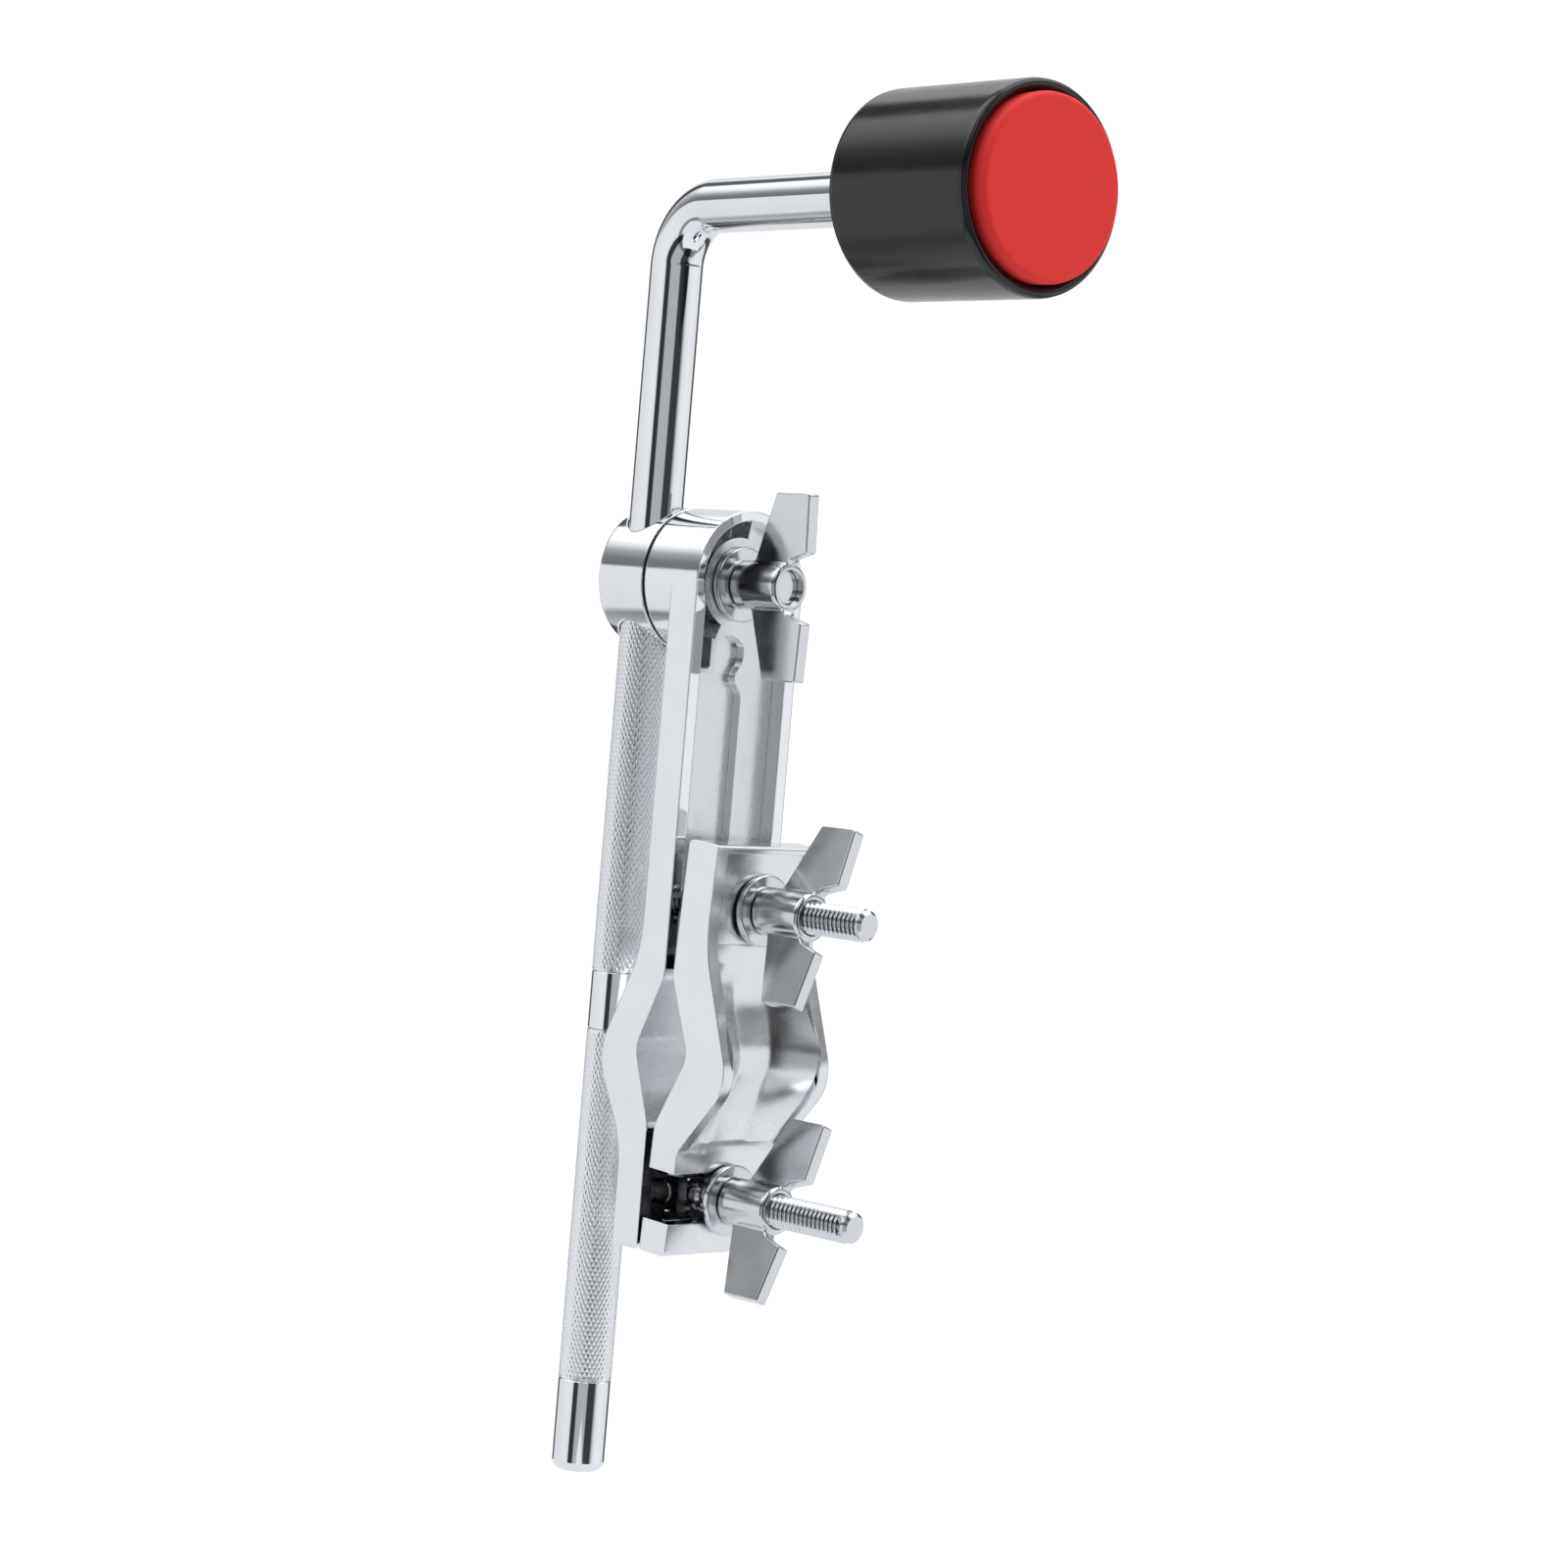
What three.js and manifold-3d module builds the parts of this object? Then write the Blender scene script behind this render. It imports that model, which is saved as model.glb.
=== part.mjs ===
// Clamp-on holder for a cowbell: a two-jaw tube clamp that carries a bent rod with a padded head.
// Millimetres, +Z up. The origin is the centre of the diamond opening that grips the tube, which
// runs along Y. The bolts run along X and their wing nuts are on the +X side.
import * as THREE from 'three';
import { mergeVertices } from 'three/addons/utils/BufferGeometryUtils.js';
import Module from 'manifold-3d';

const wasm = await Module();
wasm.setup();

// ---- Driving dimensions ----
const ROD_R = 4.75;            // 3/8 inch rod
const ROD_X = -20.6;           // rod axis, behind the rear jaw
const ROD_Y = -5.3;            // the rod passes beside the draw bolt
const ROD_BOTTOM = -78;
const ARM_Z = 147.8;           // height of the horizontal arm
const BEND_R = 10.5;           // centreline radius of the bend
const ARM_YAW = -4.75;         // degrees that the rod is turned about its own axis

const HEAD_BACK = 58.4;        // distances along the arm, from the rod's axis
const HEAD_RIM = 91.1;
const PAD_FRONT = 93.8;
const HEAD_R = 17.6;
const PAD_R = 15.3;
const SHELL_WALL = 2.0;
const HEAD_STUD_R = 3.9;       // M8 end of the rod

const PIVOT_Z = 82;            // axis of the rod holder and its draw bolt
const UPPER_Z = 25.6;          // the two jaw bolts, the same distance from the tube's centre
const LOWER_Z = -25.6;
const BOLT_R = 2.9;            // M6 with running clearance in its nut
const BARREL_R = 13;
const JAW_HALF = 13;           // half the width of both jaws along Y
const JAW_WALL = 2.5;
const JAW_BOTTOM = -35;
const BARREL_BACK = -26.6;
const BARREL_FRONT = -14.9;
const RING_BACK = -14.75;
const RING_FRONT = -14.25;
const DISC_BACK = -14.1;
const DISC_FRONT = -1.0;
const STEM_BACK = -7.2;
const STEM_FRONT = -0.8;
const LOWER_BACK = -8.5;
const LOWER_FRONT = -2.1;
const PLATEAU = -3.7;          // raised half of the stem's channel, where the top washer sits
const SLOT_FLOOR = -5.4;       // lowered half of the channel
const FRONT_TILT = 3.3;        // degrees that the front jaw leans away at its top
const FRONT_BACK = 0.5;        // front jaw's back plane at the height of the tube's centre
const FRONT_UPPER = 7.2;       // front jaw's depth over the upper bolt
const FRONT_LOWER = 6.4;       // and over the lower bolt
const FRONT_TOP = 37.3;
const SEAT_DEPTH = 1.2;        // recess that the upper washer sits in

const WASHER_T = 1.45;
const PIN_X = -5.0;            // cross pin of the swing bolt
const PIN_R = 2.3;
const EYE_R = 3.1;
const EYE_HALF = 2.8;
const LUG_OUT = 5.2;
const NOTCH_LOW = -29.3;       // slot in the front jaw, open to -Y
const NOTCH_HIGH = -20.4;

// ---- Solids ----
const rad = THREE.MathUtils.degToRad;
const TO_X = new THREE.Matrix4().makeBasis(
  new THREE.Vector3(0, 1, 0), new THREE.Vector3(0, 0, 1), new THREE.Vector3(1, 0, 0));
const TO_Y = new THREE.Matrix4().makeBasis(
  new THREE.Vector3(1, 0, 0), new THREE.Vector3(0, 0, 1), new THREE.Vector3(0, -1, 0));

function solid(geometry) {
  const plain = geometry.clone();
  plain.deleteAttribute('normal');
  plain.deleteAttribute('uv');
  const welded = mergeVertices(plain, 1e-5);
  return new wasm.Manifold(new wasm.Mesh({
    numProp: 3,
    vertProperties: new Float32Array(welded.attributes.position.array),
    triVerts: new Uint32Array(welded.index.array),
  }));
}

function toGeometry(manifold) {
  const mesh = manifold.getMesh();
  const geometry = new THREE.BufferGeometry();
  geometry.setAttribute('position', new THREE.BufferAttribute(mesh.vertProperties, 3));
  geometry.setIndex(new THREE.BufferAttribute(mesh.triVerts, 1));
  const flat = geometry.toNonIndexed();
  flat.computeVertexNormals();
  return flat;
}

// A closed outline from corners [a, b, rounding].
function outline(corners) {
  const shape = new THREE.Shape();
  corners.forEach(([a, b, r = 0], i) => {
    const here = new THREE.Vector2(a, b);
    const before = new THREE.Vector2(...corners.at(i - 1).slice(0, 2)).sub(here).setLength(r);
    const after = new THREE.Vector2(...corners[(i + 1) % corners.length].slice(0, 2)).sub(here).setLength(r);
    const start = before.add(here);
    const end = after.add(here);
    if (i === 0) shape.moveTo(start.x, start.y);
    else shape.lineTo(start.x, start.y);
    if (r > 0) shape.quadraticCurveTo(here.x, here.y, end.x, end.y);
  });
  shape.closePath();
  return shape;
}

// An outline in (y, z), from x0 to x1.
function alongX(shape, x0, x1) {
  const geometry = new THREE.ExtrudeGeometry(shape, { depth: x1 - x0, bevelEnabled: false, curveSegments: 8 });
  return solid(geometry.applyMatrix4(TO_X).translate(x0, 0, 0));
}

// An outline in (x, z), from y0 to y1.
function alongY(shape, y0, y1) {
  const geometry = new THREE.ExtrudeGeometry(shape, { depth: y1 - y0, bevelEnabled: false, curveSegments: 8 });
  return solid(geometry.applyMatrix4(TO_Y).translate(0, y1, 0));
}

function block(x0, x1, y0, y1, z0, z1) {
  const geometry = new THREE.BoxGeometry(x1 - x0, y1 - y0, z1 - z0);
  return solid(geometry.translate((x0 + x1) / 2, (y0 + y1) / 2, (z0 + z1) / 2));
}

// A solid of revolution about X: points are [radius, x], the first and last on the axis.
function turnedX(points, z = 0, segments = 48) {
  const profile = points.map(([r, x]) => new THREE.Vector2(r, x));
  const geometry = new THREE.LatheGeometry(profile, segments).rotateZ(-Math.PI / 2);
  return solid(geometry.translate(0, 0, z));
}

function rodX(r, x0, x1, z = 0, segments = 48) {
  return turnedX([[0, x0], [r, x0], [r, x1], [0, x1]], z, segments);
}

function ringX(inner, outer, x0, x1, z = 0) {
  return rodX(outer, x0, x1, z).subtract(rodX(inner, x0 - 1, x1 + 1, z));
}

function cylinderZ(r, z0, z1, x, y, segments = 48) {
  const geometry = new THREE.CylinderGeometry(r, r, z1 - z0, segments).rotateX(Math.PI / 2);
  return solid(geometry.translate(x, y, (z0 + z1) / 2));
}

function cylinderY(r, y0, y1, x, z, segments = 40) {
  const geometry = new THREE.CylinderGeometry(r, r, y1 - y0, segments);
  return solid(geometry.translate(x, (y0 + y1) / 2, z));
}

// ---- Finishes ----
const FINISHES = {
  chrome: { color: 0xd9dce0, roughness: 0.12, metalness: 1 },
  zinc: { color: 0xb4b8bb, roughness: 0.38, metalness: 1 },
  steel: { color: 0x9a9da0, roughness: 0.45, metalness: 1 },
  black_paint: { color: 0x151517, roughness: 0.35, metalness: 0 },
  red_rubber: { color: 0xcd3e3a, roughness: 0.7, metalness: 0 },
  black_rubber: { color: 0x101010, roughness: 0.8, metalness: 0 },
};

function piece(name, manifold, finish) {
  const mesh = new THREE.Mesh(toGeometry(manifold), new THREE.MeshStandardMaterial(FINISHES[finish]));
  mesh.name = name;
  return mesh;
}

const holder = new THREE.Group();
holder.name = 'cowbell_holder_clamp';

// ---- Rear jaw: head disc, stem, V and lower end in one casting ----
const rearSide = outline([
  [STEM_FRONT, PIVOT_Z], [STEM_FRONT, 13.2, 1.2], [-6.6, 0, 2.2], [LOWER_FRONT, -13, 1.2],
  [LOWER_FRONT, JAW_BOTTOM, 1], [LOWER_BACK, JAW_BOTTOM, 1], [LOWER_BACK, -17, 5],
  [-16.2, -2.5, 5], [STEM_BACK, 17, 5], [STEM_BACK, PIVOT_Z],
]);
const channelHalf = JAW_HALF - JAW_WALL;
const rimInner = BARREL_R - 1.8;
const plateauShape = outline([
  [-channelHalf, 17], [channelHalf, 17], [channelHalf, PIVOT_Z], [-channelHalf, PIVOT_Z],
]);
const slotShape = outline([
  [-channelHalf, 17, 1], [2.8, 17, 1], [2.8, 62.8, 1.4], [0.5, 65.3, 1.4], [2.7, 68.4, 1.2],
  [2.6, 71.4, 0.9], [-0.8, 73.4, 1.8], [-4.2, 71.6, 1.8], [-4.2, 66, 0.6], [-channelHalf, 66, 1],
]);
const kidneyTail = outline([
  [-channelHalf, 66.8, 0.8], [-5.4, 66.8, 0.8], [-5.4, 74], [-9.2, 78], [-channelHalf, 78],
]);
const kidneyArc = new THREE.Shape();
kidneyArc.absarc(0, PIVOT_Z, rimInner, rad(80), rad(245), false);
kidneyArc.absarc(0, PIVOT_Z, 8.2, rad(245), rad(80), true);

let rearJaw = alongY(rearSide, -JAW_HALF, JAW_HALF)
  .add(rodX(BARREL_R, DISC_BACK, DISC_FRONT, PIVOT_Z, 64))
  .subtract(rodX(rimInner, PLATEAU, 2, PIVOT_Z, 64))
  .subtract(alongX(plateauShape, PLATEAU, 2))
  .subtract(alongX(slotShape, SLOT_FLOOR, 2))
  .subtract(alongX(kidneyTail, -6.3, 2))
  .subtract(alongX(kidneyArc, -8.5, 2))
  .subtract(block(-6, 2, -channelHalf, channelHalf, -31, -17));
for (const side of [-1, 1]) {
  const edges = [side * (EYE_HALF + 0.3), side * LUG_OUT].sort((a, b) => a - b);
  rearJaw = rearJaw.add(block(-6.5, -0.9, ...edges, LOWER_Z - EYE_R, LOWER_Z + EYE_R));
}
rearJaw = rearJaw
  .subtract(block(-9, -5.9, -EYE_HALF - 0.3, EYE_HALF + 0.3, LOWER_Z - 3.8, LOWER_Z + 3.8))
  .subtract(cylinderY(PIN_R + 0.05, -8, 8, PIN_X, LOWER_Z))
  .subtract(rodX(BOLT_R + 0.3, -16, 2, PIVOT_Z))
  .subtract(rodX(BOLT_R + 0.3, -16, 2, UPPER_Z));
holder.add(piece('rear_jaw', rearJaw, 'chrome'));

// ---- Front jaw, leaning in its own frame: x out from its back plane, z up ----
const frontSide = outline([
  [0, FRONT_TOP, 0.8], [0, 13, 1], [5.9, 0, 2.2], [0, -12.8, 1], [0, JAW_BOTTOM, 1],
  [FRONT_LOWER, JAW_BOTTOM, 1], [FRONT_LOWER, -16.2, 1], [16.4, -3, 5], [FRONT_UPPER, 19.5, 5],
  [FRONT_UPPER, FRONT_TOP, 0.8],
]);
const valley = outline([
  [6.3, 19.5, 1.5], [5.2, 13, 2], [9.1, 0, 2], [4.8, -13.5, 2], [7.4, -19.8], [20, -19.8], [20, 19.5],
]);
// The valley is deepest along its middle, and its sides slope up to the rims over the bulge.
const SLOPE_RISE = 5.4;
const SLOPE_HALF = 17;
const valleyGeometry = new THREE.ExtrudeGeometry(valley, {
  depth: 2 * channelHalf, steps: 4, bevelEnabled: false, curveSegments: 8,
}).applyMatrix4(TO_Y).translate(0, channelHalf, 0);
const corners = valleyGeometry.attributes.position;
for (let i = 0; i < corners.count; i += 1) {
  const isFloor = corners.getX(i) < 15;
  if (isFloor && Math.abs(corners.getY(i)) > channelHalf - 0.1) {
    const rise = SLOPE_RISE * Math.max(0, 1 - (corners.getZ(i) / SLOPE_HALF) ** 2);
    corners.setX(i, corners.getX(i) + rise);
  }
}
const valleyCut = solid(valleyGeometry);
const seat = FRONT_UPPER - SEAT_DEPTH;
const notchEnd = 4.2;
const lean = rad(FRONT_TILT);

// Where the jaw's own frame meets a bolt at height z, x out from the back plane.
function ownZ(z, x) {
  return (z + x * Math.sin(lean)) / Math.cos(lean);
}
const frontJaw = alongY(frontSide, -JAW_HALF, JAW_HALF)
  .subtract(valleyCut)
  .subtract(block(seat, 20, -channelHalf, channelHalf, 18, FRONT_TOP - 1.3))
  .subtract(block(-1, 3, -channelHalf, channelHalf, 17, FRONT_TOP - 3))
  .subtract(block(-1, 3.2, -channelHalf, channelHalf, -31, -16.5))
  .subtract(block(-1, 9, -JAW_HALF - 1, notchEnd, NOTCH_LOW, NOTCH_HIGH))
  .subtract(rodX(3.8, -1, 9, ownZ(UPPER_Z, seat / 2)));
const leaning = new THREE.Group();
leaning.name = 'front_jaw_lean';
leaning.position.x = FRONT_BACK;
leaning.rotation.y = lean;
leaning.add(piece('front_jaw', frontJaw, 'chrome'));
holder.add(leaning);

// ---- Rod holder: barrel, friction ring and grooved draw bolt ----
const boreR = 5.9;
const drawHeadR = 5.65;
const drawHeadBack = -25.1;
const drawHeadFront = -16.3;
const rodPassage = cylinderZ(ROD_R + 0.2, PIVOT_Z - 20, PIVOT_Z + 20, ROD_X, ROD_Y);
const barrel = turnedX([
  [0, BARREL_BACK], [BARREL_R - 1, BARREL_BACK], [BARREL_R - 0.3, BARREL_BACK + 0.3],
  [BARREL_R, BARREL_BACK + 1], [BARREL_R, BARREL_FRONT], [0, BARREL_FRONT],
], PIVOT_Z, 64)
  .subtract(rodX(boreR, drawHeadBack - 0.3, -10, PIVOT_Z))
  .subtract(rodPassage);
const topBoltEnd = 7.8;
const drawBolt = rodX(drawHeadR, drawHeadBack, drawHeadFront, PIVOT_Z)
  .add(rodX(BOLT_R, drawHeadFront - 1, topBoltEnd, PIVOT_Z, 32))
  .subtract(rodPassage);
holder.add(piece('rod_barrel', barrel, 'chrome'));
holder.add(piece('draw_bolt', drawBolt, 'steel'));
holder.add(piece('friction_ring', ringX(6.2, BARREL_R - 0.35, RING_BACK, RING_FRONT, PIVOT_Z), 'black_rubber'));

// ---- Jaw bolts: a button-headed bolt above, a swing bolt on its pin below ----
const upperBoltEnd = 34.5;
const lowerBoltEnd = 37.1;
const boltChamfer = 0.7;
const upperBolt = turnedX([
  [0, -10.3], [3.4, -10], [5.4, -8.9], [5.9, STEM_BACK - 0.15], [BOLT_R, STEM_BACK - 0.15],
  [BOLT_R, upperBoltEnd - boltChamfer], [BOLT_R - boltChamfer, upperBoltEnd], [0, upperBoltEnd],
], UPPER_Z, 32);
holder.add(piece('upper_bolt', upperBolt, 'zinc'));

const swingBolt = cylinderY(EYE_R, -EYE_HALF, EYE_HALF, PIN_X, LOWER_Z)
  .add(turnedX([
    [0, PIN_X], [EYE_HALF, PIN_X], [EYE_HALF, -0.6], [EYE_R, -0.4], [EYE_R, 0.8], [BOLT_R, 1],
    [BOLT_R, lowerBoltEnd - boltChamfer], [BOLT_R - boltChamfer, lowerBoltEnd], [0, lowerBoltEnd],
  ], LOWER_Z, 32))
  .subtract(cylinderY(PIN_R + 0.1, -8, 8, PIN_X, LOWER_Z));
holder.add(piece('swing_bolt', swingBolt, 'zinc'));
holder.add(piece('swing_bolt_pin', cylinderY(PIN_R, -LUG_OUT, LUG_OUT, PIN_X, LOWER_Z), 'steel'));

// ---- Wing nuts: hub and two plate wings, drawn with the base at x = 0 ----
const hubR = 4.3;
const hubLength = 11.1;
const wingHalfThick = 1.3;
const wing = outline([
  [2.65, 3.2], [6.95, 16.4, 0.5], [14.95, 16.4, 0.5], [15.35, 6.1, 0.4], [11.3, 4.8, 0.8], [10.6, 3.2],
]);
const wingPlate = alongY(wing, -wingHalfThick, wingHalfThick);
const wingNut = turnedX([
  [0, 0], [hubR - 0.3, 0], [hubR, 0.3], [hubR, hubLength - 0.5], [hubR - 0.5, hubLength], [0, hubLength],
])
  .add(wingPlate)
  .add(wingPlate.rotate([180, 0, 0]))
  .subtract(rodX(BOLT_R + 0.1, -1, hubLength + 1));

function addWingNut(name, x, z, turn) {
  const nut = piece(name, wingNut, 'zinc');
  nut.position.set(x, 0, z);
  nut.rotation.x = rad(turn);
  holder.add(nut);
}
// The jaw washers stand off the leaning jaw just enough to clear it as it swings.
const WASHER_GAP = 0.15;
for (const [name, back, z, outer, turn] of [
  ['top', PLATEAU + WASHER_GAP, PIVOT_Z, 6.65, 0],
  ['upper', 8.5, UPPER_Z, 6.35, -20.7],
  ['lower', 6.2, LOWER_Z, 6.35, -23.8],
]) {
  holder.add(piece(`${name}_washer`, ringX(BOLT_R + 0.3, outer, back, back + WASHER_T, z), 'zinc'));
  addWingNut(`${name}_wing_nut`, back + WASHER_T + WASHER_GAP, z, turn);
}

// ---- Rod and head, in the rod's own frame: its axis at x = 0, the arm along +x ----
class Bend extends THREE.Curve {
  getPoint(t) {
    const angle = t * Math.PI / 2;
    return new THREE.Vector3(BEND_R * (1 - Math.cos(angle)), 0, ARM_Z - BEND_R * (1 - Math.sin(angle)));
  }
}
const rodSection = new THREE.Shape().absarc(0, 0, ROD_R, 0, 2 * Math.PI, false);
const bend = solid(new THREE.ExtrudeGeometry(rodSection, {
  extrudePath: new Bend(), steps: 18, bevelEnabled: false, curveSegments: 32,
}));
const bendStart = ARM_Z - BEND_R;
const rodEndChamfer = 1.2;
const lRod = cylinderZ(ROD_R, ROD_BOTTOM + rodEndChamfer, bendStart + 0.02, 0, 0)
  .add(solid(new THREE.CylinderGeometry(ROD_R, ROD_R - 0.9, rodEndChamfer + 0.01, 48)
    .rotateX(Math.PI / 2).translate(0, 0, ROD_BOTTOM + rodEndChamfer / 2)))
  .add(bend)
  .add(rodX(ROD_R, BEND_R - 0.02, HEAD_BACK - 0.15, ARM_Z))
  .add(rodX(HEAD_STUD_R, HEAD_BACK - 1, HEAD_BACK + 14, ARM_Z, 32));

const shellBack = 3.0;
const rimRound = 1.3;
const shell = turnedX([
  [0, HEAD_BACK], [HEAD_R - 1.5, HEAD_BACK], [HEAD_R - 0.4, HEAD_BACK + 0.45], [HEAD_R, HEAD_BACK + 1.5],
  [HEAD_R, HEAD_RIM - rimRound], [HEAD_R - 0.4, HEAD_RIM - 0.4], [HEAD_R - rimRound / 2 - 0.3, HEAD_RIM],
  [0, HEAD_RIM],
], ARM_Z, 72)
  .subtract(rodX(HEAD_R - SHELL_WALL, HEAD_BACK + shellBack, HEAD_RIM + 1, ARM_Z, 72))
  .subtract(rodX(HEAD_STUD_R + 0.2, HEAD_BACK - 1, HEAD_BACK + shellBack + 1, ARM_Z, 32));
const pad = turnedX([
  [0, HEAD_BACK + 15.5], [PAD_R, HEAD_BACK + 15.5], [PAD_R, PAD_FRONT - 0.9],
  [PAD_R - 0.3, PAD_FRONT - 0.25], [PAD_R - 1, PAD_FRONT], [0, PAD_FRONT],
], ARM_Z, 64);
const inside = HEAD_BACK + shellBack;
const hexNut = rodX(7.5, inside + 4.1, inside + 10.6, ARM_Z, 6)
  .subtract(rodX(HEAD_STUD_R + 0.1, inside, inside + 20, ARM_Z, 32));

const turned = new THREE.Group();
turned.name = 'rod_turn';
turned.position.set(ROD_X, ROD_Y, 0);
turned.rotation.z = rad(ARM_YAW);
turned.add(piece('l_rod', lRod, 'chrome'));
turned.add(piece('head_shell', shell, 'black_paint'));
turned.add(piece('head_pad', pad, 'red_rubber'));
turned.add(piece('head_flat_washer', ringX(HEAD_STUD_R + 0.3, 8.4, inside + 0.15, inside + 1.75, ARM_Z), 'steel'));
turned.add(piece('head_lock_washer', ringX(HEAD_STUD_R + 0.2, 6.9, inside + 1.9, inside + 3.95, ARM_Z), 'steel'));
turned.add(piece('head_nut', hexNut, 'steel'));
holder.add(turned);

export default holder;
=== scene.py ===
# A cowbell's mounting clamp: two chromed jaws that grip a tube, and a bent rod that carries a padded head.
from math import atan2, exp, hypot, pi, radians, sin

import bmesh
import bpy
from mathutils import Matrix, Vector


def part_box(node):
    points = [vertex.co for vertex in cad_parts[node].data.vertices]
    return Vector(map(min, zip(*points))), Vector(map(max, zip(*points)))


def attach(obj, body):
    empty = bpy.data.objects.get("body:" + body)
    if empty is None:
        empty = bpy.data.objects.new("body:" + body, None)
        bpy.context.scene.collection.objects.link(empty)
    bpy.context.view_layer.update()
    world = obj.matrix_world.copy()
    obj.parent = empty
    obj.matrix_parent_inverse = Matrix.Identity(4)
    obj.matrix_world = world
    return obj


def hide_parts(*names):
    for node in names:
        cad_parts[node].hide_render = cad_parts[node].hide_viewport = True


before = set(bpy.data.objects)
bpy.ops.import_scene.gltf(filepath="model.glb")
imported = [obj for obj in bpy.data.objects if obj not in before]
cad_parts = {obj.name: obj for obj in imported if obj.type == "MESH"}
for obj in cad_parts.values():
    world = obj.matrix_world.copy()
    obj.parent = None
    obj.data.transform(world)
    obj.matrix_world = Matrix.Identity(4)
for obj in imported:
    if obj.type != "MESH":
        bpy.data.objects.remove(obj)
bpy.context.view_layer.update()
MM = 0.001


# ---- Rear jaw ----
# A zinc die casting with a round head, a channelled stem and a V that takes half of the tube. It is polished
# and chrome plated on the outside; the sunk faces of the channel keep the grain of the casting.
def casting(node, rounding, steps=3, steepest=35, keep_room=True):
    """The node's own solid with merged faces, its edges rounded as tumbling and polishing leave them.

    With keep_room the rounding shrinks wherever short edges leave no room for it.
    """
    bm = bmesh.new()
    bm.from_mesh(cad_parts[node].data)
    bmesh.ops.remove_doubles(bm, verts=bm.verts, dist=0.002 * MM)
    bmesh.ops.dissolve_limit(bm, angle_limit=radians(0.5), verts=bm.verts, edges=bm.edges)
    corners = [edge for edge in bm.edges if edge.is_manifold and edge.calc_face_angle() > radians(steepest)]
    bmesh.ops.bevel(bm, geom=corners, offset=rounding, offset_type="OFFSET", segments=steps,
                    profile=0.5, affect="EDGES", clamp_overlap=keep_room, material=-1)
    return bm


def finish_piece(bm, name, body, materials, replaced=(), weighted=True, crease=40):
    """Makes the mesh an object, shades it, and fixes it to the body that carries it."""
    mesh = bpy.data.meshes.new(name)
    for face in bm.faces:
        face.smooth = True
    for edge in bm.edges:
        edge.smooth = not edge.is_manifold or edge.calc_face_angle() < radians(crease)
    bm.to_mesh(mesh)
    bm.free()
    piece = bpy.data.objects.new(name, mesh)
    bpy.context.collection.objects.link(piece)
    for material in materials:
        mesh.materials.append(material)
    if weighted:
        flatten = piece.modifiers.new("flat faces stay flat", "WEIGHTED_NORMAL")
        flatten.keep_sharp = True
    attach(piece, body)
    if replaced:
        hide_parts(*replaced)
    return piece


def grain_group():
    """Two sizes of cloudy mottling, as masks from 0 to 1, in the piece's own millimetres."""
    group = bpy.data.node_groups.new("surface grain", "ShaderNodeTree")
    for label, default in (("Coarse size", 6.0), ("Fine size", 0.4)):
        socket = group.interface.new_socket(label, in_out="INPUT", socket_type="NodeSocketFloat")
        socket.default_value = default
    for label in ("Coarse", "Fine"):
        group.interface.new_socket(label, in_out="OUTPUT", socket_type="NodeSocketFloat")
    nodes, links = group.nodes, group.links
    inputs = nodes.new("NodeGroupInput")
    outputs = nodes.new("NodeGroupOutput")
    place = nodes.new("ShaderNodeTexCoord")
    for index, label in enumerate(("Coarse", "Fine")):
        scale = nodes.new("ShaderNodeMath")
        scale.operation = "DIVIDE"
        scale.inputs[0].default_value = 1 / MM
        links.new(inputs.outputs[index], scale.inputs[1])
        noise = nodes.new("ShaderNodeTexNoise")
        noise.inputs["Detail"].default_value = 3
        links.new(place.outputs["Object"], noise.inputs["Vector"])
        links.new(scale.outputs[0], noise.inputs["Scale"])
        links.new(noise.outputs["Fac"], outputs.inputs[label])
    return group


GRAIN = grain_group()


def plated(name, dark, light, smoothest, roughest, coarse, fine, depth, metal=1.0, strength=0.2, edge=0.0):
    """A material whose colour and gloss drift between two values, with a fine relief and a worn edge."""
    material = bpy.data.materials.new(name)
    material.use_nodes = True
    nodes, links = material.node_tree.nodes, material.node_tree.links
    shader = nodes["Principled BSDF"]
    shader.inputs["Metallic"].default_value = metal
    grain = nodes.new("ShaderNodeGroup")
    grain.node_tree = GRAIN
    grain.inputs["Coarse size"].default_value = coarse
    grain.inputs["Fine size"].default_value = fine
    colour = nodes.new("ShaderNodeMix")
    colour.data_type = "RGBA"
    colour.inputs["A"].default_value = (*dark, 1)
    colour.inputs["B"].default_value = (*light, 1)
    gloss = nodes.new("ShaderNodeMapRange")
    gloss.inputs["From Min"].default_value = 0.3
    gloss.inputs["From Max"].default_value = 0.7
    gloss.inputs["To Min"].default_value = smoothest
    gloss.inputs["To Max"].default_value = roughest
    relief = nodes.new("ShaderNodeBump")
    relief.inputs["Distance"].default_value = depth
    relief.inputs["Strength"].default_value = strength
    links.new(grain.outputs["Coarse"], colour.inputs["Factor"])
    links.new(colour.outputs["Result"], shader.inputs["Base Color"])
    links.new(grain.outputs["Coarse"], gloss.inputs["Value"])
    links.new(gloss.outputs["Result"], shader.inputs["Roughness"])
    links.new(grain.outputs["Fine"], relief.inputs["Height"])
    links.new(relief.outputs["Normal"], shader.inputs["Normal"])
    if edge:
        worn = nodes.new("ShaderNodeBevel")
        worn.samples = 6
        worn.inputs["Radius"].default_value = edge
        links.new(worn.outputs["Normal"], relief.inputs["Normal"])
    return material


CHROME = plated("polished chrome", (0.80, 0.81, 0.83), (0.88, 0.89, 0.91), 0.04, 0.09, 9, 2.5, 0.02 * MM,
                edge=0.5 * MM)
CAST_CHROME = plated("chrome over casting grain", (0.66, 0.67, 0.69), (0.84, 0.85, 0.86), 0.2, 0.34, 3, 0.35,
                     0.05 * MM, strength=0.5)


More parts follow.
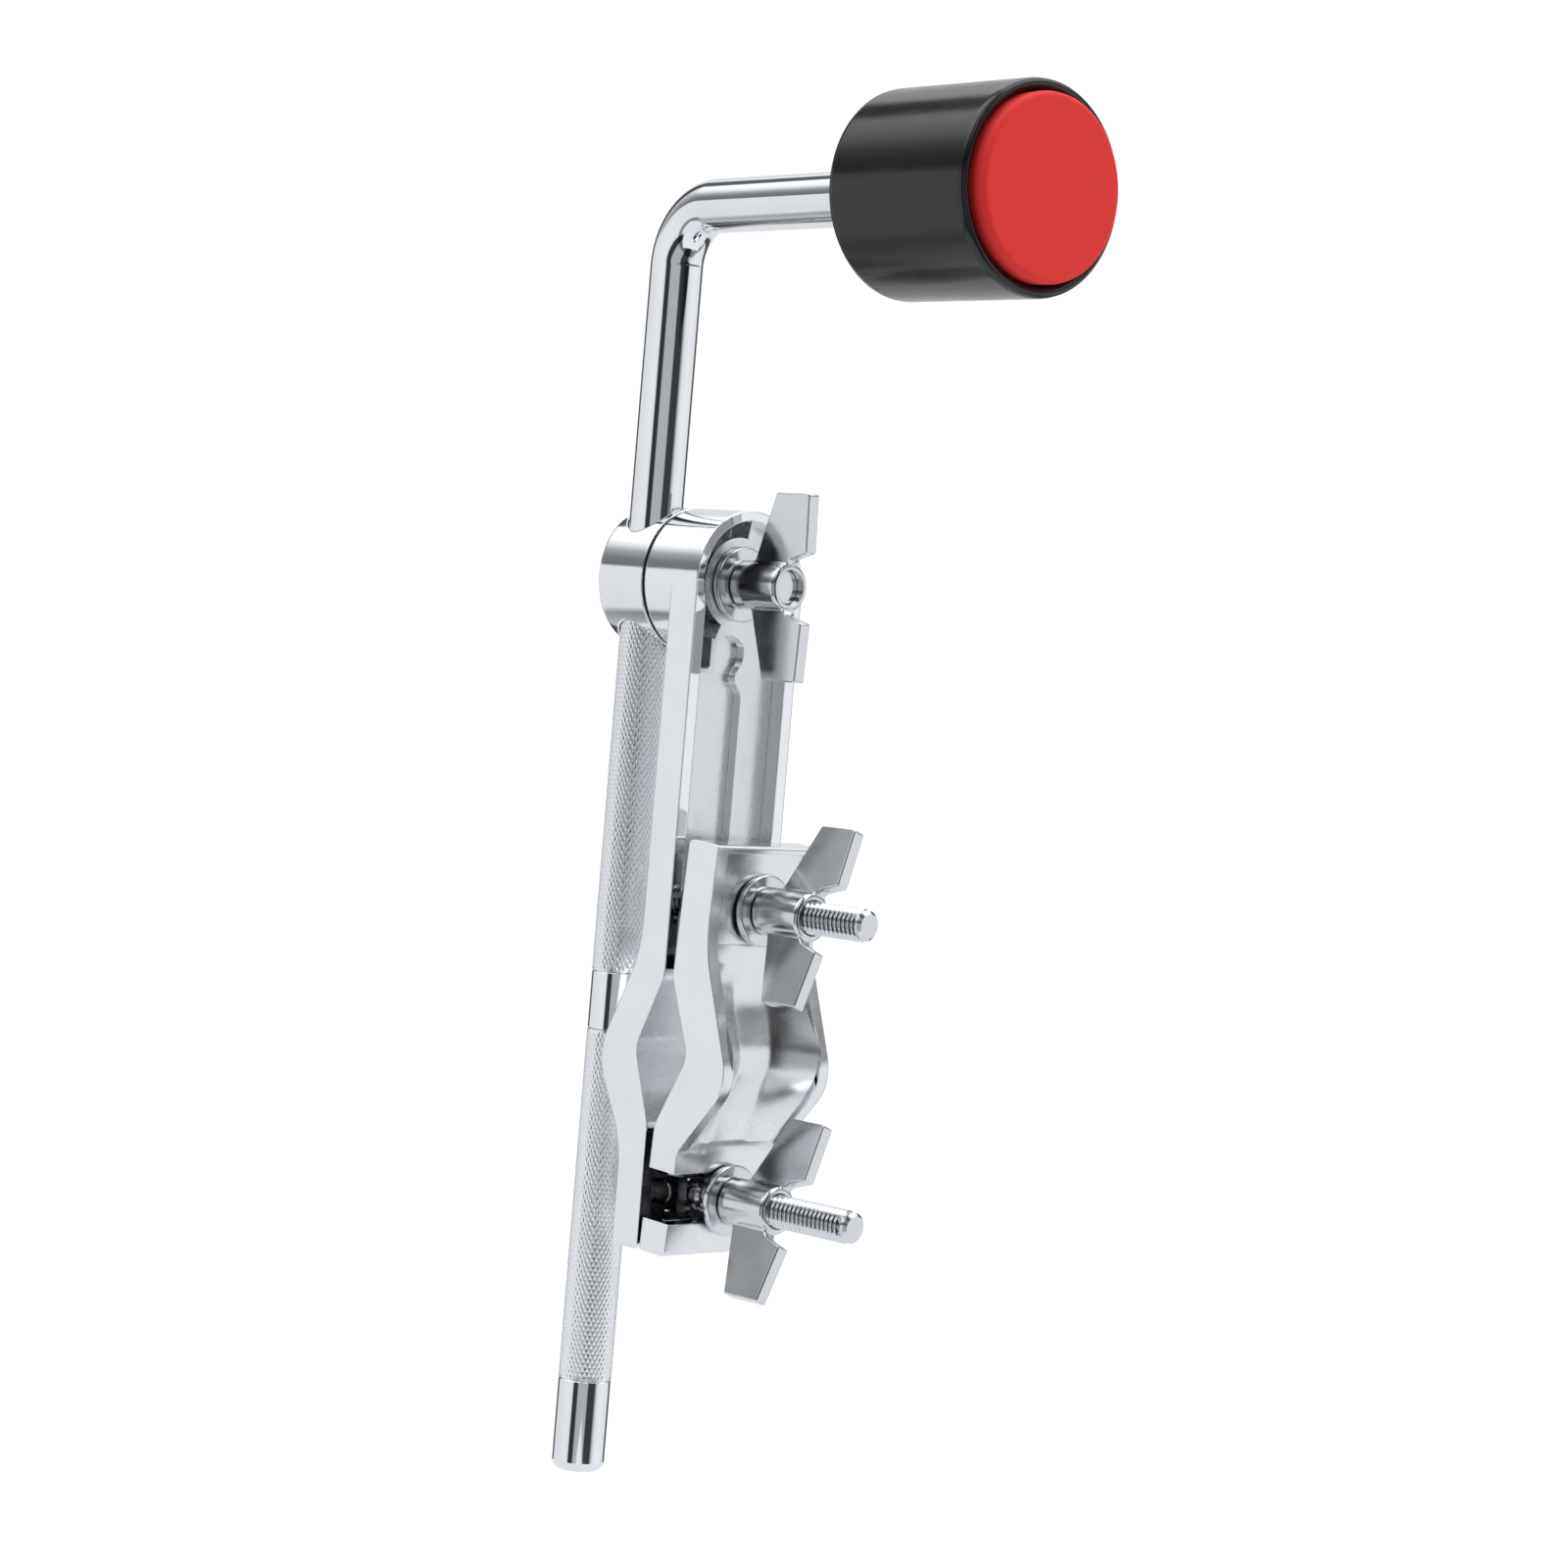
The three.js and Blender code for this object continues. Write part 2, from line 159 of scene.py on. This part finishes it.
def grain_the_floors(bm, highest):
    """Sunk faces that look out along +X keep the casting's grain."""
    for face in bm.faces:
        if face.normal.x > 0.6 and face.calc_center_median().x < highest:
            face.material_index = 1


jaw = casting("rear_jaw", 0.45 * MM)
grain_the_floors(jaw, -3.0 * MM)
# A near-black chrome for faces deep in the top recess and round the lower pin's lugs: painted shade, standing
# in for the shadow that fills those hollows.
SHADE_PAINTED_CHROME = plated("chrome with painted shade in recesses", (0.13, 0.13, 0.14), (0.26, 0.26, 0.27), 0.2, 0.34,
                     3, 0.35, 0.05 * MM, strength=0.5)
# These faces get the painted shade: the top recess's floor and the lugs and pin end in the cavity below.
for face in jaw.faces:
    centre = face.calc_center_median() / MM
    if face.normal.x > 0.6 and centre.x < -5.8 and centre.z > 60:
        face.material_index = 2
    if abs(centre.y) < 5.6 and -29.6 < centre.z < -21.6 and -6.8 < centre.x < -0.5:
        face.material_index = 2
finish_piece(jaw, "rear_jaw_casting", "clamp", [CHROME, CAST_CHROME, SHADE_PAINTED_CHROME], ["rear_jaw"])


# ---- Front jaw ----
# The second casting, drawn against the first by the two wing nuts. Its V is hollowed from the front between
# two side walls, and a slot lets it swing off the lower bolt.
jaw = casting("front_jaw", 0.45 * MM)
SATIN_CHROME = plated("chrome over a brushed face", (0.74, 0.75, 0.77), (0.86, 0.87, 0.88), 0.2, 0.3, 5, 0.5,
                      0.03 * MM, strength=0.3, edge=0.4 * MM)
grain_the_floors(jaw, 30 * MM)
finish_piece(jaw, "front_jaw_casting", "moving_jaw", [CHROME, SATIN_CHROME], ["front_jaw"])


def valley_height(y, z):
    """How far the hollow's skin stands out from the jaw's back plane, in its own leaning frame."""
    bends = ((-23, 5.9), (-19, 5.9), (-14.5, 5.2), (-12.5, 5.2), (0, 9.9), (11, 5.9), (17, 6.4), (19.5, 6.3),
             (24, 4.9))
    depths = []
    for step in range(-6, 7):
        here = z + 0.5 * step
        for (low, start), (high, end) in zip(bends, bends[1:]):
            if low <= here <= high:
                depths.append(start + (end - start) * (here - low) / (high - low))
                break
    across = max(0, abs(y) - 3.5) / 7
    return sum(depths) / len(depths) + 5.5 * min(across, 1.06) ** 1.3 * max(0, 1 - (z / 17) ** 2)


HOLLOW_HALF_WIDTH, HOLLOW_HALF_HEIGHT, HOLLOW_MIDDLE = 10.9, 19.4, 0.6
SKIN_DEPTH = 0.0015
skin = bmesh.new()
bmesh.ops.create_grid(skin, x_segments=64, y_segments=40, size=1)
for vert in skin.verts:
    y, z = vert.co.y * HOLLOW_HALF_WIDTH, HOLLOW_MIDDLE - vert.co.x * HOLLOW_HALF_HEIGHT
    vert.co = Vector((valley_height(y, z), y, z)) * MM
grown = bmesh.ops.extrude_face_region(skin, geom=list(skin.faces), use_keep_orig=True)["geom"]
bmesh.ops.translate(skin, verts=[part for part in grown if isinstance(part, bmesh.types.BMVert)],
                    vec=(-SKIN_DEPTH, 0, 0))
bmesh.ops.recalc_face_normals(skin, faces=skin.faces)
LEAN = Matrix.Translation((0.5 * MM, 0, 0)) @ Matrix.Rotation(radians(3.3), 4, "Y")
bmesh.ops.transform(skin, matrix=LEAN, verts=skin.verts)
finish_piece(skin, "front_jaw_hollow", "moving_jaw", [SATIN_CHROME])


# ---- Barrel and draw bolt ----
# The rod holder is a turned and chromed barrel. The rod passes through it from top to bottom, and a steel
# draw bolt, pulled by the top wing nut, clamps the rod against its wall.
finish_piece(casting("rod_barrel", 0.4 * MM), "rod_barrel_turned", "rod_holder", [CHROME],
             ["rod_barrel"])

ZINC = plated("satin zinc plate", (0.64, 0.65, 0.67), (0.74, 0.75, 0.77), 0.12, 0.2, 6, 0.35, 0.02 * MM,
              strength=0.2)
STEEL = plated("plain steel", (0.30, 0.31, 0.32), (0.45, 0.46, 0.47), 0.25, 0.4, 2.5, 0.3, 0.03 * MM)
finish_piece(casting("draw_bolt", 0.3 * MM), "draw_bolt_turned", "rod_holder", [ZINC], ["draw_bolt"])


# ---- Friction ring ----
# A thin ring punched from black rubber sheet. It is squeezed between the barrel and the jaw's round head, so
# that the rod holder doesn't creep round.
BLACK_RUBBER = plated("black rubber", (0.01, 0.01, 0.01), (0.02, 0.02, 0.02), 0.6, 0.8, 4, 0.3, 0.05 * MM,
                      metal=0.0)
finish_piece(casting("friction_ring", 0.12 * MM), "friction_ring_punched", "clamp",
             [BLACK_RUBBER], ["friction_ring"])


# ---- Rod ----
# One bar of steel, bent cold to a right angle and chrome plated. Two stretches of the upright are knurled for
# the draw bolt to bite on, and the inside of the bend keeps the marks of the bending die.
ROD_R = 4.75
BEND_R = 10.5
ARM_YAW = Matrix.Rotation(radians(-4.75), 4, "Z")
rod_low, rod_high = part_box("l_rod")
rod_axis = Vector((rod_low[0] + ROD_R * MM, rod_high[1] - ROD_R * MM, 0))
rod_foot = rod_low[2] / MM
bend_start = rod_high[2] / MM - ROD_R - BEND_R
ROD_PLACE = Matrix.Translation(rod_axis) @ ARM_YAW


def lathe(profile, steps=64, closed=False):
    """A solid turned about Z from (radius, height) points in millimetres; a closed outline makes a ring."""
    bm = bmesh.new()
    verts = [bm.verts.new((radius * MM, 0, height * MM)) for radius, height in profile]
    pairs = list(zip(verts, verts[1:])) + ([(verts[-1], verts[0])] if closed else [])
    chain = [bm.edges.new(pair) for pair in pairs]
    bmesh.ops.spin(bm, geom=verts + chain, cent=(0, 0, 0), axis=(0, 0, 1), dvec=(0, 0, 0), angle=2 * pi,
                   steps=steps, use_merge=True)
    bmesh.ops.remove_doubles(bm, verts=bm.verts, dist=0.001 * MM)
    bmesh.ops.recalc_face_normals(bm, faces=bm.faces)
    return bm


def join(bm, other, place=Matrix()):
    """Adds another mesh to this one, moved into place."""
    bmesh.ops.transform(other, matrix=place, verts=other.verts)
    spare = bpy.data.meshes.new("spare")
    other.to_mesh(spare)
    other.free()
    bm.from_mesh(spare)
    bpy.data.meshes.remove(spare)


def knurled(low, high, columns=36, pitch=1.65, ridge=0.09, pit=0.09):
    """A sleeve of crossed ridges with a four-sided pit pressed into each diamond between them."""
    bm = bmesh.new()
    bmesh.ops.create_circle(bm, segments=columns, radius=ROD_R * MM)
    bmesh.ops.translate(bm, verts=bm.verts, vec=(0, 0, low * MM))
    rim = list(bm.edges)
    rows = round((high - low) / pitch)
    for _ in range(rows):
        grown = bmesh.ops.extrude_edge_only(bm, edges=rim)["geom"]
        rim = [part for part in grown if isinstance(part, bmesh.types.BMEdge) and part.is_boundary]
        bmesh.ops.translate(bm, verts=[part for part in grown if isinstance(part, bmesh.types.BMVert)],
                            vec=(0, 0, (high - low) / rows * MM))
    grid = [edge for edge in bm.edges if not edge.is_boundary]
    centres = bmesh.ops.poke(bm, faces=list(bm.faces))["verts"]
    for vert in centres:
        vert.co.xy = vert.co.xy.normalized() * ROD_R * MM
    bmesh.ops.dissolve_edges(bm, edges=grid, use_verts=False)
    diamonds = [face for face in bm.faces if len(face.verts) == 4]
    bmesh.ops.holes_fill(bm, edges=[edge for edge in bm.edges if edge.is_boundary], sides=0)
    bmesh.ops.recalc_face_normals(bm, faces=bm.faces)
    bmesh.ops.inset_individual(bm, faces=diamonds, thickness=ridge * MM, depth=0)
    bmesh.ops.poke(bm, faces=diamonds, offset=-pit * MM)
    return bm


STUD_R = 3.9
head_back = (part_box("l_rod")[1][0] - rod_axis.x) / MM / ARM_YAW[0][0] - 14.05
rod = lathe([(0, rod_foot), (ROD_R - 0.9, rod_foot), (ROD_R - 0.45, rod_foot + 0.4), (ROD_R, rod_foot + 1.2),
             (ROD_R, rod_foot + 1.7), (ROD_R, -61.8), (ROD_R - 0.5, -61.3), (ROD_R - 0.5, 0.9), (ROD_R, 1.4),
             (ROD_R, 11.4),
             (ROD_R - 0.5, 11.9), (ROD_R - 0.5, 76.6), (ROD_R, 77.2), (ROD_R, 90), (ROD_R, 105), (ROD_R, 120),
             (ROD_R, bend_start)])
rim = [edge for edge in rod.edges if edge.is_boundary]
bent = bmesh.ops.spin(rod, geom=rim, cent=(BEND_R * MM, 0, bend_start * MM), axis=(0, 1, 0), dvec=(0, 0, 0),
                      angle=pi / 2, steps=72)["geom_last"]
for length, radius in ((12, ROD_R), (12, ROD_R), (head_back - BEND_R - 24.15, ROD_R), (0, STUD_R),
                       (14, STUD_R), (0, 0)):
    rim = [part for part in bent if isinstance(part, bmesh.types.BMEdge)]
    bent = bmesh.ops.extrude_edge_only(rod, edges=rim)["geom"]
    moved = [part for part in bent if isinstance(part, bmesh.types.BMVert)]
    centre = sum((vert.co for vert in moved), Vector()) / len(moved)
    for vert in moved:
        spoke = vert.co - centre
        vert.co = centre + Vector((length * MM, 0, 0)) + spoke.normalized() * radius * MM
bmesh.ops.remove_doubles(rod, verts=rod.verts, dist=0.001 * MM)
bmesh.ops.recalc_face_normals(rod, faces=rod.faces)
for vert in rod.verts:
    hub = Vector((BEND_R * MM, vert.co.y, bend_start * MM))
    out = vert.co - hub
    turn = atan2(out.z, -out.x)
    inner = max(0, 1 - (hypot(out.x, out.z) / MM - (BEND_R - ROD_R)) / 3.2)
    if -0.2 < turn < 1.8 and hypot(out.x, out.z) < BEND_R * MM:
        press = exp(-((turn - 0.12) / 0.15) ** 2) + 0.5 * exp(-((turn - 1.2) / 0.22) ** 2)
        press += 0.1 * sin(9 * turn)
        vert.co += out.normalized() * 0.16 * MM * inner ** 1.5 * press
bmesh.ops.transform(rod, matrix=ROD_PLACE, verts=rod.verts)
ROD_CHROME = plated("chromed bar", (0.80, 0.81, 0.83), (0.88, 0.89, 0.91), 0.03, 0.06, 12, 5, 0.015 * MM,
                    strength=0.1)
finish_piece(rod, "l_rod_bar", "rod", [ROD_CHROME], ["l_rod"])
grip = knurled(-61.5, 1.1)
join(grip, knurled(11.7, 76.9))
bmesh.ops.transform(grip, matrix=ROD_PLACE, verts=grip.verts)
KNURL_CHROME = plated("chrome on the knurl", (0.86, 0.87, 0.89), (0.92, 0.93, 0.95), 0.26, 0.36, 8, 0.6,
                      0.02 * MM)
finish_piece(grip, "l_rod_knurl", "rod", [KNURL_CHROME], weighted=False, crease=9)


# ---- Jaw bolts ----
# Both are M6 and zinc plated. The upper one has a low button head behind the rear jaw; the lower one has an
# eye on a cross pin, so that it can swing out of the front jaw's slot.
TO_X = Matrix.Rotation(pi / 2, 4, "Y")


def threaded(start, end, pitch=1.0, root=2.3, crest=2.9, around=24):
    """A right-hand thread along Z, closed at both ends, over a core with a chamfered end."""
    bm = bmesh.new()
    verts = [bm.verts.new((radius * MM, 0, height * MM)) for radius, height in
             ((root, 0), (root, 0.08 * pitch), (crest, 0.48 * pitch), (crest, 0.6 * pitch), (root, pitch))]
    chain = [bm.edges.new(pair) for pair in zip(verts, verts[1:])]
    turns = int((end - 0.6 - start) / pitch) - 1
    bmesh.ops.spin(bm, geom=verts + chain, cent=(0, 0, 0), axis=(0, 0, 1),
                   dvec=(0, 0, pitch / around * MM), angle=2 * pi * turns, steps=around * turns)
    bmesh.ops.remove_doubles(bm, verts=bm.verts, dist=0.002 * MM)
    bmesh.ops.holes_fill(bm, edges=[edge for edge in bm.edges if edge.is_boundary], sides=0)
    bmesh.ops.triangulate(bm, faces=[face for face in bm.faces if len(face.verts) > 4])
    bmesh.ops.recalc_face_normals(bm, faces=bm.faces)
    bmesh.ops.translate(bm, verts=bm.verts, vec=(0, 0, start * MM))
    join(bm, lathe([(0, start - 1), (root + 0.04, start - 1), (root + 0.04, end - 1.1),
                    (crest - 0.25, end - 0.9), (crest - 0.25, end - 0.5), (crest - 0.8, end), (0, end)],
                   steps=32))
    return bm


pivot = Vector((0, 0, (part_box("upper_bolt")[0][2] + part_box("upper_bolt")[1][2]) / 2))
bolt = lathe([(0, -10.3), (2.0, -10.2), (3.6, -9.9), (4.9, -9.2), (5.7, -8.2), (5.9, -7.6), (5.75, -7.35),
              (2.9, -7.35), (2.9, -2), (0, -2)])
join(bolt, threaded(-2.2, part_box("upper_bolt")[1][0] / MM))
bmesh.ops.transform(bolt, matrix=Matrix.Translation(pivot) @ TO_X, verts=bolt.verts)
finish_piece(bolt, "upper_bolt_threaded", "clamp", [ZINC], ["upper_bolt"])

pin_low, pin_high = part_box("swing_bolt_pin")
pin = (Vector(pin_low) + Vector(pin_high)) / 2
eye = lathe([(2.42, -2.5), (2.7, -2.8), (2.9, -2.8), (3.1, -2.55), (3.1, 2.55), (2.9, 2.8), (2.7, 2.8),
             (2.42, 2.5)], closed=True)
bmesh.ops.transform(eye, matrix=Matrix.Translation(pin) @ Matrix.Rotation(pi / 2, 4, "X"), verts=eye.verts)
join(eye, lathe([(0, -2.45), (2.6, -2.45), (2.75, -1.2), (2.9, -0.4), (2.9, 0.9), (0, 0.9)]),
     Matrix.Translation((0, 0, pin.z)) @ TO_X)
join(eye, threaded(0.8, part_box("swing_bolt")[1][0] / MM), Matrix.Translation((0, 0, pin.z)) @ TO_X)
finish_piece(eye, "swing_bolt_threaded", "swing", [ZINC], ["swing_bolt"])

cross_pin = lathe([(0, -5.2), (1.9, -5.2), (2.3, -4.8), (2.3, 4.8), (1.9, 5.2), (0, 5.2)], steps=40)
bmesh.ops.transform(cross_pin, matrix=Matrix.Translation(pin) @ Matrix.Rotation(pi / 2, 4, "X"),
                    verts=cross_pin.verts)
finish_piece(cross_pin, "swing_bolt_pin_turned", "clamp", [STEEL], ["swing_bolt_pin"])


# ---- Washers and wing nuts ----
# Stamped flat washers, and wing nuts whose two plate wings stand on a turned hub, all zinc plated. The nuts
# hold the rod holder at the top and close the jaws below.
for place in ("top", "upper", "lower"):
    washer = place + "_washer"
    finish_piece(casting(washer, 0.4 * MM, keep_room=False), washer + "_stamped", washer + "_body",
                 [ZINC], [washer])
for place in ("top", "upper", "lower"):
    wing_nut = place + "_wing_nut"
    finish_piece(casting(wing_nut, 0.32 * MM, steepest=25, keep_room=False), wing_nut + "_cast",
                 place + "_nut", [ZINC], [wing_nut])


# ---- Head ----
# The cowbell hangs against this: a deep cup of black painted steel, bolted to the rod's threaded end, with a
# thick red rubber pad pressed into it so that a dark gap runs round the pad.
HEAD_PLACE = ROD_PLACE @ Matrix.Translation((0, 0, (bend_start + BEND_R) * MM)) @ TO_X
BLACK_PAINT = plated("satin black paint", (0.006, 0.006, 0.007), (0.011, 0.011, 0.012), 0.15, 0.21, 6, 0.3,
                     0.02 * MM, metal=0.0)
SHELL_DEPTH, SHELL_R, SHELL_INNER_R = 32.7, 17.58, 15.6
back = head_back
rim_at = back + SHELL_DEPTH
shell = lathe([(4.1, back + 0.2), (4.3, back), (16.0, back), (17.0, back + 0.35), (17.5, back + 0.95),
               (SHELL_R, back + 1.7), (SHELL_R, rim_at - 1.4), (17.45, rim_at - 0.6), (17.1, rim_at - 0.12),
               (16.7, rim_at), (16.2, rim_at - 0.1), (15.8, rim_at - 0.5), (SHELL_INNER_R, rim_at - 1.1),
               (SHELL_INNER_R, back + 4),
               (14.8, back + 3.1), (4.3, back + 3), (4.1, back + 2.8)], steps=112, closed=True)
bmesh.ops.transform(shell, matrix=HEAD_PLACE, verts=shell.verts)
finish_piece(shell, "head_shell_cup", "rod", [BLACK_PAINT], ["head_shell"])

RED_RUBBER = plated("red rubber", (0.84, 0.038, 0.032), (0.92, 0.048, 0.040), 0.5, 0.65, 5, 0.25, 0.05 * MM,
                    metal=0.0)
PAD_R, PAD_BACK, PAD_FRONT = 15.3, 15.5, 35.1
front = back + PAD_FRONT
pad = lathe([(0, back + PAD_BACK), (14.9, back + PAD_BACK), (PAD_R, back + 15.9), (PAD_R, front - 1.1),
             (15.15, front - 0.5),
             (14.75, front - 0.12), (14.2, front), (10, front), (5, front), (0, front)], steps=112)
bmesh.ops.transform(pad, matrix=HEAD_PLACE, verts=pad.verts)
RED_RUBBER.node_tree.nodes["Principled BSDF"].inputs["Specular IOR Level"].default_value = 0.25
finish_piece(pad, "head_pad_disc", "rod", [RED_RUBBER], ["head_pad"])

for node in ("head_flat_washer", "head_lock_washer", "head_nut"):
    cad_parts[node].data.materials.clear()
    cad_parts[node].data.materials.append(STEEL)


# ---- Studio ----
# A white room with a pale floor. Dark strips beside the camera and behind the part, and dark bands above and
# below it, put the dark lines into the chrome. One soft light falls on the pad, and no reflection shows it.
floor_mesh = bpy.data.meshes.new("studio_floor")
bm = bmesh.new()
bmesh.ops.create_grid(bm, x_segments=1, y_segments=1, size=0.25)
bmesh.ops.translate(bm, verts=bm.verts, vec=(0, 0, -0.14))
bm.to_mesh(floor_mesh)
bm.free()
floor = bpy.data.objects.new("studio_floor", floor_mesh)
bpy.context.collection.objects.link(floor)
pale = bpy.data.materials.new("pale floor")
pale.use_nodes = True
paper = pale.node_tree.nodes["Principled BSDF"]
paper.inputs["Base Color"].default_value = (0.78, 0.79, 0.80, 1)
paper.inputs["Roughness"].default_value = 0.9
paper.inputs["Emission Color"].default_value = (1, 1, 1, 1)
looked_at = pale.node_tree.nodes.new("ShaderNodeLightPath")
glow = pale.node_tree.nodes.new("ShaderNodeMath")
glow.operation = "MULTIPLY"
glow.inputs[1].default_value = 0.6
pale.node_tree.links.new(looked_at.outputs["Is Camera Ray"], glow.inputs[0])
pale.node_tree.links.new(glow.outputs[0], paper.inputs["Emission Strength"])
floor_mesh.materials.append(pale)

world = bpy.data.worlds.new("white studio")
bpy.context.scene.world = world
world.use_nodes = True
nodes, links = world.node_tree.nodes, world.node_tree.links
background = nodes["Background"]
direction = nodes.new("ShaderNodeTexCoord")
turn = nodes.new("ShaderNodeVectorRotate")
turn.rotation_type = "Z_AXIS"
turn.inputs["Angle"].default_value = radians(45.6)
links.new(direction.outputs["Generated"], turn.inputs["Vector"])
split = nodes.new("ShaderNodeSeparateXYZ")
links.new(turn.outputs["Vector"], split.inputs["Vector"])
around = nodes.new("ShaderNodeMath")
around.operation = "ARCTAN2"
links.new(split.outputs["Y"], around.inputs[0])
links.new(split.outputs["X"], around.inputs[1])
share = nodes.new("ShaderNodeMapRange")
share.inputs["From Min"].default_value = -pi
share.inputs["From Max"].default_value = pi
links.new(around.outputs[0], share.inputs["Value"])
sweep = nodes.new("ShaderNodeValToRGB")
stops = sweep.color_ramp.elements
for stop, angle in ((stops[0], -180), (stops[1], 180)):
    stop.position, stop.color = (angle + 180) / 360, (0.78, 0.80, 0.83, 1)
for angle, value in ((-158, 0.85), (-153, 0.08), (-136, 0.08), (-131, 0.85), (-60, 0.97), (-47, 0.88),
                     (-43, 0.04), (-25, 0.04), (-21, 0.5), (17, 0.5), (22, 0.05), (50, 0.05), (57, 0.5),
                     (66, 0.9), (90, 1.0), (131, 0.9), (136, 0.08), (153, 0.08), (158, 0.85)):
    stop = stops.new((angle + 180) / 360)
    stop.color = (0.95 * value, 0.975 * value, 1.0 * value, 1)
links.new(share.outputs["Result"], sweep.inputs["Fac"])
height = nodes.new("ShaderNodeMapRange")
height.inputs["From Min"].default_value = -1
height.inputs["From Max"].default_value = 1
links.new(split.outputs["Z"], height.inputs["Value"])
bands = nodes.new("ShaderNodeValToRGB")
rungs = bands.color_ramp.elements
rungs[0].position, rungs[0].color = 0.0, (1, 1, 1, 1)
rungs[1].position, rungs[1].color = 1.0, (2.6, 2.6, 2.6, 1)
for level, value in ((-0.70, 1.0), (-0.66, 0.3), (-0.58, 0.25), (-0.52, 0.95), (0.17, 1.0), (0.2, 0.2),
                     (0.33, 0.25), (0.45, 0.5), (0.57, 1.4), (0.7, 2.4)):
    rung = rungs.new((level + 1) / 2)
    rung.color = (value, value, value, 1)
links.new(height.outputs["Result"], bands.inputs["Fac"])
both = nodes.new("ShaderNodeMix")
both.data_type = "RGBA"
both.blend_type = "MULTIPLY"
behind = nodes.new("ShaderNodeMath")
behind.operation = "ABSOLUTE"
links.new(around.outputs[0], behind.inputs[0])
front_only = nodes.new("ShaderNodeMapRange")
front_only.inputs["From Min"].default_value = radians(105)
front_only.inputs["From Max"].default_value = radians(150)
front_only.inputs["To Min"].default_value = 1
front_only.inputs["To Max"].default_value = 0
links.new(behind.outputs[0], front_only.inputs["Value"])
ceiling = nodes.new("ShaderNodeMapRange")
ceiling.inputs["From Min"].default_value = 0.45
ceiling.inputs["From Max"].default_value = 0.75
links.new(split.outputs["Z"], ceiling.inputs["Value"])
either = nodes.new("ShaderNodeMath")
either.operation = "MAXIMUM"
links.new(front_only.outputs["Result"], either.inputs[0])
links.new(ceiling.outputs["Result"], either.inputs[1])
links.new(either.outputs[0], both.inputs["Factor"])
links.new(sweep.outputs["Color"], both.inputs["A"])
links.new(bands.outputs["Color"], both.inputs["B"])
seen = nodes.new("ShaderNodeLightPath")
clean = nodes.new("ShaderNodeMix")
clean.data_type = "RGBA"
clean.inputs["B"].default_value = (1.1, 1.1, 1.1, 1)
links.new(seen.outputs["Is Camera Ray"], clean.inputs["Factor"])
links.new(both.outputs["Result"], clean.inputs["A"])
links.new(clean.outputs["Result"], background.inputs["Color"])
background.inputs["Strength"].default_value = 1.0

fill = bpy.data.objects.new("soft fill", bpy.data.lights.new("soft fill", "AREA"))
bpy.context.collection.objects.link(fill)
fill.location = (0.50, 0.06, 0.26)
fill.rotation_euler = (Vector((0.07, 0, 0.15)) - fill.location).to_track_quat("-Z", "Y").to_euler()
fill.data.size = 0.3
fill.data.energy = 0.62
fill.visible_glossy = False
fill.visible_camera = False

camera = bpy.data.objects.new("camera", bpy.data.cameras.new("camera"))
bpy.context.collection.objects.link(camera)
camera.location = Vector((475.9, -475.6, 68.9)) * MM
camera.rotation_euler = (radians(88.19), radians(-4.81), radians(44.47))
camera.data.lens = 88.0
camera.data.sensor_width = 36
camera.data.clip_start = 0.01
bpy.context.scene.camera = camera
bpy.context.scene.view_settings.view_transform = "Standard"
